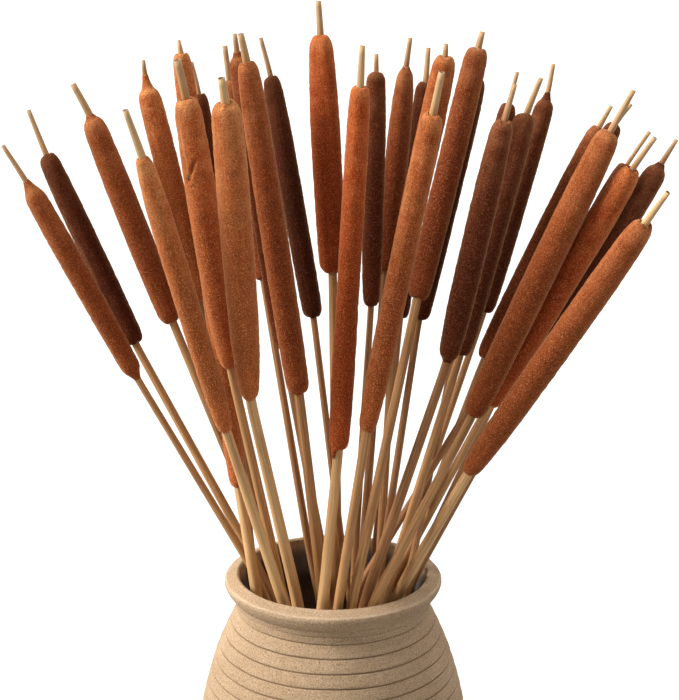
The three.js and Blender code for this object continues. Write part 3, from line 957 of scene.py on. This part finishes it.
def make_vase():
    """The pot, lathed from the middle of its base over the ribs and the lip to the middle of its floor."""
    outside, lip, inside = vase_rings()
    valleys, valley_depth, crests = find_valleys(outside)
    neck = outside[-1]
    section = shares_of(lip.min(axis=0), lip.max(axis=0), LIP_SECTION)
    hollow = shares_of(neck, section[0], LIP_HOLLOW)
    wall = spaced(np.concatenate((crests, hollow, section[:1])), FINE_STEP, VASE_EASE)

    # The rows of the pot's section: its foot, its ribs and neck grooves, its lip and its inside
    base = np.array([(CAP_RADIUS, 0)])
    edge = foot_edge(outside[0, 0])
    heights, sinks = outer_rows(valleys, neck[1], section[0, 1])
    ribbed = np.stack((np.interp(heights, wall[:, 1], wall[:, 0]), heights), axis=1)
    lip_rows = spaced(section, LIP_STEP, LIP_EASE)
    floor = np.array([(CAP_RADIUS, inside[-1, 1])])
    inner = spaced(np.concatenate((lip_rows[-1:], inside, floor)), INNER_STEP, VASE_EASE)[1:]
    profile = np.concatenate((base, edge, ribbed, lip_rows, inner))
    first = len(base) + len(edge)
    sink = np.pad(sinks, (first, len(profile) - first - len(sinks)))

    # Turned around the axis, with ribs that wander and vary in depth
    angles = np.linspace(0, 2 * math.pi, VASE_COLUMNS, endpoint=False)[None, :]
    radius = np.broadcast_to(profile[:, :1], (len(profile), VASE_COLUMNS))
    height = np.broadcast_to(profile[:, 1:], radius.shape)
    around = np.stack((radius * np.sin(angles), -radius * np.cos(angles), height), axis=-1)
    noises = {name: noise(around, kind) for name, kind in VASE_NOISES.items()}
    last_groove = shares_of(neck[1], section[0, 1], NECK_GROOVES[-1][0])
    on_ribs = hump((valleys[0] - WANDER_EASE, valleys[0]), (last_groove, section[0, 1]), height)
    wander = noises["wander"] * RIB_WANDER * on_ribs
    groove = sink[:, None] * (1 + GROOVE_CHANGE * noises["uneven"])
    lumps = noises["lumps"] * LUMP_HEIGHT + noises["grit"] * GRIT_HEIGHT
    depth = valley_depth * RIB_STRENGTH
    radius = radius - groove * depth + lumps * smooth_step(0, SMOOTH_FOOT, height)
    points = np.stack((radius * np.sin(angles), -radius * np.cos(angles), height + wander), axis=-1)

    # Painted shade in the grooves and inside, painted light that lifts the inside further down, and a pale
    # edge on the lip that is partly wear and partly painted highlight
    is_inner = np.arange(len(profile))[:, None] >= len(profile) - len(inner)
    below = lip_rows[-1, 1] - height
    wear_and_highlight_edge = shares_of(lip.min(axis=0), lip.max(axis=0), LIP_EDGE)
    wear_and_highlight = 1 - smooth_step(0, LIP_EDGE_WIDTH, np.linalg.norm(profile - wear_and_highlight_edge, axis=1))
    traits = {
        "groove": np.clip(smooth_step(*GROOVE_RISE, groove) * GROOVE_PAINTED_SHADE, 0, 1),
        "inside": is_inner * smooth_step(*INSIDE_RISE, below),
        "depths": is_inner * smooth_step(*DEPTHS_RISE, below),
        "wear_and_highlight": wear_and_highlight[:, None] * (WEAR_AND_HIGHLIGHT_MEAN + WEAR_AND_HIGHLIGHT_CHANGE * noises["wear_and_highlight"]),
    }
    thing = closed_tube("ribbed_pot", points, traits)
    dress(thing, "vase", clay_material())


# Build every piece


def make_cattail(number, rings, radii, full, materials):
    """One stem with its spike, whose full radius is given."""
    axis = Axis(rings)
    make_stem(number, axis, radii, materials)
    make_spike(number, axis, rings, radii, full)


def make_bunch():
    """Every cattail of the CAD, and those at the back."""
    materials = {name: straw_material(name) for name in STRAW_TONES}
    for number in sorted(int(name[-2:]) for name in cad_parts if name.startswith("stem_")):
        rings, radii = stem_rings(f"stem_{number:02d}")
        full = cad_girth(f"spike_{number:02d}", rings[HEEL], rings[CROWN])
        make_cattail(number, rings, radii, full, materials)
    for number, plant in BACK_CATTAILS.items():
        rings, radii = back_rings(plant)
        make_cattail(number, rings, radii, plant["girth"] / 2 * MM, materials)


make_bunch()
make_vase()


# Floor, light and camera


def make_floor():
    """A pale floor that glows for the camera alone: it looks white and throws no light at the spikes."""
    corners = [(-FLOOR_HALF, -FLOOR_HALF, 0), (FLOOR_HALF, -FLOOR_HALF, 0),
               (FLOOR_HALF, FLOOR_HALF, 0), (-FLOOR_HALF, FLOOR_HALF, 0)]
    mesh = bpy.data.meshes.new("floor")
    mesh.from_pydata(corners, [], [(0, 1, 2, 3)])
    floor = bpy.data.objects.new("floor", mesh)
    bpy.context.scene.collection.objects.link(floor)
    shader = Shader("pale_floor")
    shader.set("Base Color", FLOOR_COLOUR)
    shader.set("Emission Color", WHITE)
    seen = shader.node("ShaderNodeLightPath").outputs["Is Camera Ray"]
    shader.feed("Emission Strength", shader.steer(seen, 0, 1, FLOOR_GLOW))
    mesh.materials.append(shader.finish(roughness=0.9, shine=0.1))


def make_sun(name, azimuth, elevation, strength, softness):
    """A soft far light. Azimuth 0 stands behind the camera, and grows towards the viewer's left."""
    lamp = bpy.data.lights.new(name, "SUN")
    lamp.energy = strength
    lamp.angle = math.radians(softness)
    thing = bpy.data.objects.new(name, lamp)
    thing.rotation_euler = (math.radians(90 - elevation), 0, math.radians(-azimuth))
    bpy.context.scene.collection.objects.link(thing)


def make_world():
    """An even fill that looks white where the camera sees past the floor."""
    world = bpy.data.worlds.new("studio")
    bpy.context.scene.world = world
    world.use_nodes = True
    tree = world.node_tree
    seen = tree.nodes.new("ShaderNodeLightPath").outputs["Is Camera Ray"]
    strength = tree.nodes.new("ShaderNodeMapRange")
    strength.inputs["To Min"].default_value = WORLD_FILL
    strength.inputs["To Max"].default_value = 1.0
    tree.links.new(seen, strength.inputs["Value"])
    tree.links.new(strength.outputs["Result"], tree.nodes["Background"].inputs["Strength"])
    tree.nodes["Background"].inputs["Color"].default_value = WHITE


def make_camera():
    """The photograph's camera, level from side to side."""
    lens = bpy.data.cameras.new("camera")
    lens.lens = LENS_MM
    lens.clip_start = CLIP_NEAR
    lens.clip_end = CLIP_FAR
    camera = bpy.data.objects.new("camera", lens)
    camera.location = EYE
    camera.rotation_euler = (math.pi / 2 - LOOK_DOWN, 0, 0)
    bpy.context.scene.collection.objects.link(camera)
    bpy.context.scene.camera = camera


make_floor()
for name, settings in SUNS.items():
    make_sun(name, *settings)
make_world()
make_camera()
bpy.context.scene.view_settings.view_transform = "Standard"
